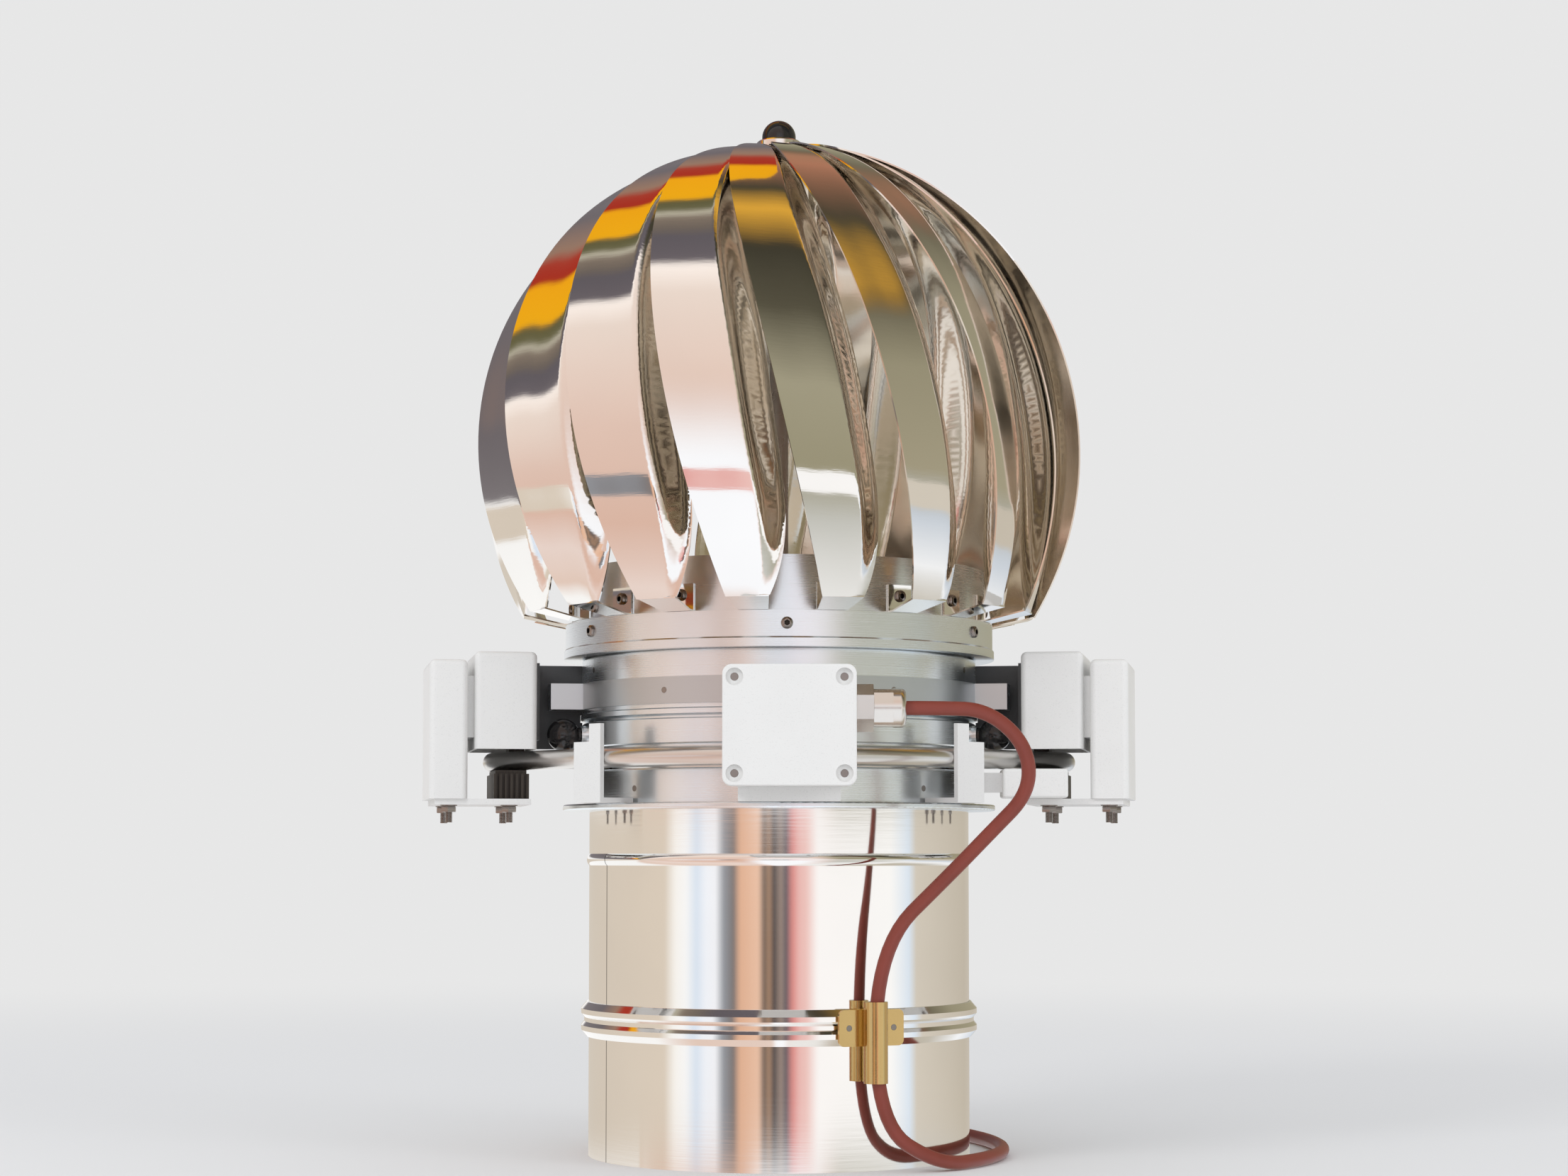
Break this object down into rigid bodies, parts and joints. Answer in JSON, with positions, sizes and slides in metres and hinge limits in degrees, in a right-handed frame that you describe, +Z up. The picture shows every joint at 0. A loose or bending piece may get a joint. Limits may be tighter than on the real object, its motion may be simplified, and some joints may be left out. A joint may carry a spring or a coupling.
{
  "type": "chimney draught fan",
  "caption": "Turning globe of curved steel vanes on a stainless flue neck, driven by two covered drive units beside its collar, with a front junction box, conduit ring and lead.",
  "frame": {"origin": "on the flue axis at the foot of the lower flue pipe", "axes": "+Z up along the flue axis, -Y towards the front with the junction box, +X towards the right-hand drive unit"},
  "size_m": [0.3768, 0.3772, 0.5495],
  "materials": {
    "polished_steel": "mirror polished stainless sheet",
    "spun_aluminium": "turned, satin",
    "white_paint": "smooth powder coat",
    "dark_paint": "satin",
    "black_laminate": "varnished laminations",
    "black_plastic": "gloss",
    "zinc_steel": "zinc plated",
    "nickel_brass": "nickel plated",
    "brass": "polished",
    "magnet": "matt ferrite",
    "silicone": "satin red-brown"
  },
  "bodies": {
    "stator": {"flue_pipe_lower": "polished_steel", "flue_pipe_upper": "polished_steel", "joint_band": "polished_steel", "neck_sleeve": "polished_steel", "mount_flange": "spun_aluminium", "lower_collar": "spun_aluminium", "bearing_collar": "spun_aluminium", "clamp_band": "spun_aluminium", "strap": "spun_aluminium", "wiring_conduit": "spun_aluminium", "bearing_spider": "spun_aluminium", "inner_cover_left": "white_paint", "inner_cover_right": "white_paint", "outer_shield_left": "white_paint", "outer_shield_right": "white_paint", "bracket_left": "white_paint", "bracket_right": "white_paint", "box_bracket": "white_paint", "box_body": "white_paint", "box_lid": "white_paint", "connector_box": "white_paint", "drive_arm_left": "dark_paint", "drive_arm_right": "dark_paint", "drive_coil_left": "black_laminate", "drive_coil_right": "black_laminate", "fixed_screws": "zinc_steel", "lid_screws": "zinc_steel", "unit_studs": "zinc_steel", "ball_bearings": "zinc_steel", "gland_body": "nickel_brass", "gland_nut": "nickel_brass", "cable_saddle": "brass", "lead_run": "silicone", "lead_coil": "silicone"},
    "rotor": {"vane_01": "polished_steel", "vane_02": "polished_steel", "vane_03": "polished_steel", "vane_04": "polished_steel", "vane_05": "polished_steel", "vane_06": "polished_steel", "vane_07": "polished_steel", "vane_08": "polished_steel", "vane_09": "polished_steel", "vane_10": "polished_steel", "vane_11": "polished_steel", "vane_12": "polished_steel", "vane_13": "polished_steel", "vane_14": "polished_steel", "vane_15": "polished_steel", "vane_16": "polished_steel", "vane_17": "polished_steel", "vane_18": "polished_steel", "rotor_ring": "spun_aluminium", "magnet_ring": "magnet", "rotor_screws": "zinc_steel", "spindle": "zinc_steel", "cap_disc": "spun_aluminium", "dome_nut": "black_plastic"},
    "knob_left": {"ball_knob_left": "black_plastic"},
    "knob_right": {"ball_knob_right": "black_plastic"}
  },
  "joints": [
    {"name": "rotor_spin", "type": "hinge", "parent": "stator", "child": "rotor", "pos_m": [0, 0, 0.29], "axis": [0, 0, 1], "continuous": true},
    {"name": "knob_left_turn", "type": "hinge", "parent": "stator", "child": "knob_left", "pos_m": [-0.11205, -0.03002, 0.2185], "axis": [-0.9659, -0.2588, 0], "range_deg": [0, 360]},
    {"name": "knob_right_turn", "type": "hinge", "parent": "stator", "child": "knob_right", "pos_m": [0.11205, -0.03002, 0.2185], "axis": [0.9659, -0.2588, 0], "range_deg": [0, 360]}
  ]
}
